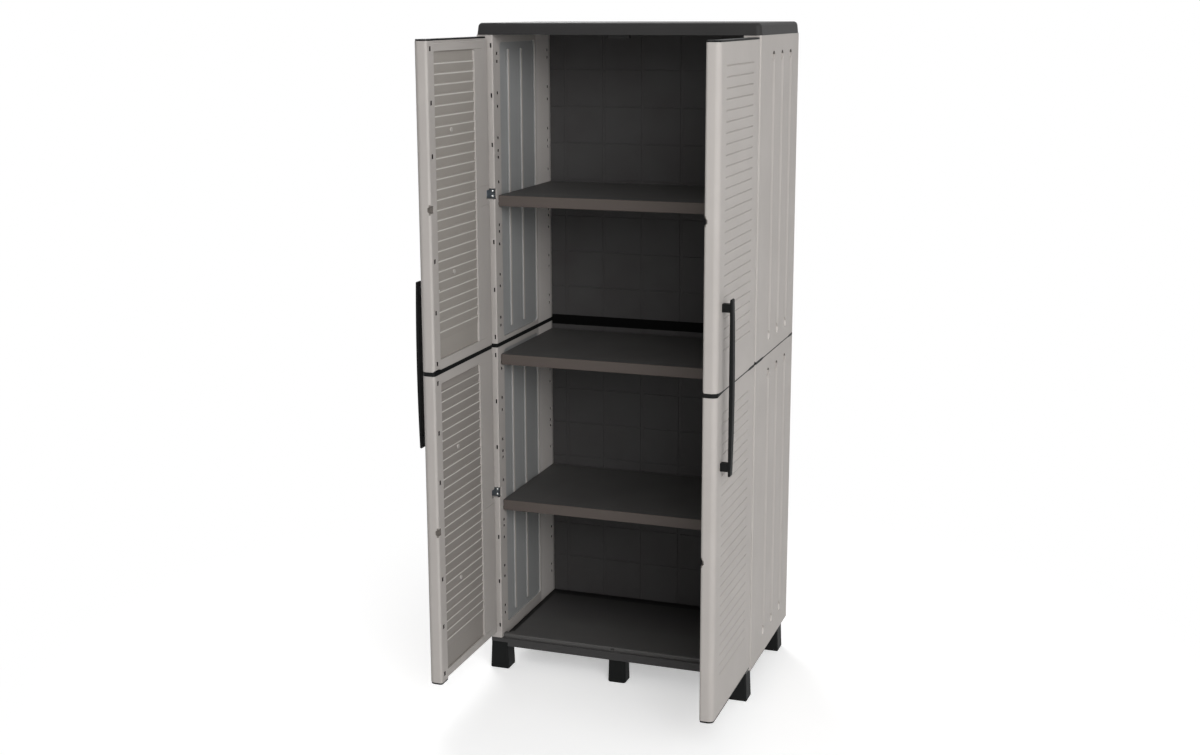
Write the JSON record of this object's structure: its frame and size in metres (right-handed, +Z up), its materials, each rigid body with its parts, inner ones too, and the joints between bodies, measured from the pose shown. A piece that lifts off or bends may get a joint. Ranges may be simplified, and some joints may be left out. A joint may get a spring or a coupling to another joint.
{
  "type": "storage cabinet",
  "caption": "Tall two-door resin storage cabinet with louvred doors, shelves, pull handles and short feet, shown with both doors open.",
  "frame": {"origin": "On the floor, in the middle of the footprint that the cabinet takes with both doors open square to the front", "axes": "+X to the right of a person facing the front, +Y from the open doors towards the back, +Z up"},
  "size_m": [0.754, 0.7416, 1.64],
  "materials": {
    "taupe_resin": "fine moulded texture",
    "charcoal_resin": "fine moulded texture",
    "black_resin": "smooth moulded",
    "hinge_zinc": "zinc plated",
    "steel": "plain"
  },
  "bodies": {
    "cabinet": {"base_tray": "charcoal_resin", "lid": "charcoal_resin", "left_side_lower": "taupe_resin", "right_side_lower": "taupe_resin", "left_side_upper": "taupe_resin", "right_side_upper": "taupe_resin", "left_side_joiner": "black_resin", "right_side_joiner": "black_resin", "back_panel_lower": "charcoal_resin", "back_panel_upper": "charcoal_resin", "back_joiner": "black_resin", "shelf_bottom": "charcoal_resin", "shelf_middle": "charcoal_resin", "shelf_top": "charcoal_resin", "shelf_clips": "black_resin", "foot_front_left": "black_resin", "foot_front_middle": "black_resin", "foot_front_right": "black_resin", "foot_rear_left": "black_resin", "foot_rear_middle": "black_resin", "foot_rear_right": "black_resin", "lid_catch": "charcoal_resin", "left_hinge_bracket_lower": "hinge_zinc", "right_hinge_bracket_lower": "hinge_zinc", "left_hinge_bracket_upper": "hinge_zinc", "right_hinge_bracket_upper": "hinge_zinc", "hinge_screws": "steel"},
    "left_door": {"left_door_lower": "taupe_resin", "left_door_upper": "taupe_resin", "left_door_joiner": "black_resin", "left_door_bottom_cap": "black_resin", "left_door_top_cap": "black_resin", "left_handle": "black_resin", "left_handle_screws": "steel", "left_hinge_pins": "steel"},
    "right_door": {"right_door_lower": "taupe_resin", "right_door_upper": "taupe_resin", "right_door_joiner": "black_resin", "right_door_bottom_cap": "black_resin", "right_door_top_cap": "black_resin", "right_handle": "black_resin", "right_handle_screws": "steel", "right_hinge_pins": "steel"}
  },
  "joints": [
    {"name": "left_door_hinge", "type": "hinge", "parent": "cabinet", "child": "left_door", "pos_m": [-0.3335, -0.03875, 0], "axis": [0, 0, 1], "range_deg": [-40, 90]},
    {"name": "right_door_hinge", "type": "hinge", "parent": "cabinet", "child": "right_door", "pos_m": [0.3335, -0.03875, 0], "axis": [0, 0, 1], "range_deg": [-90, 40]}
  ]
}
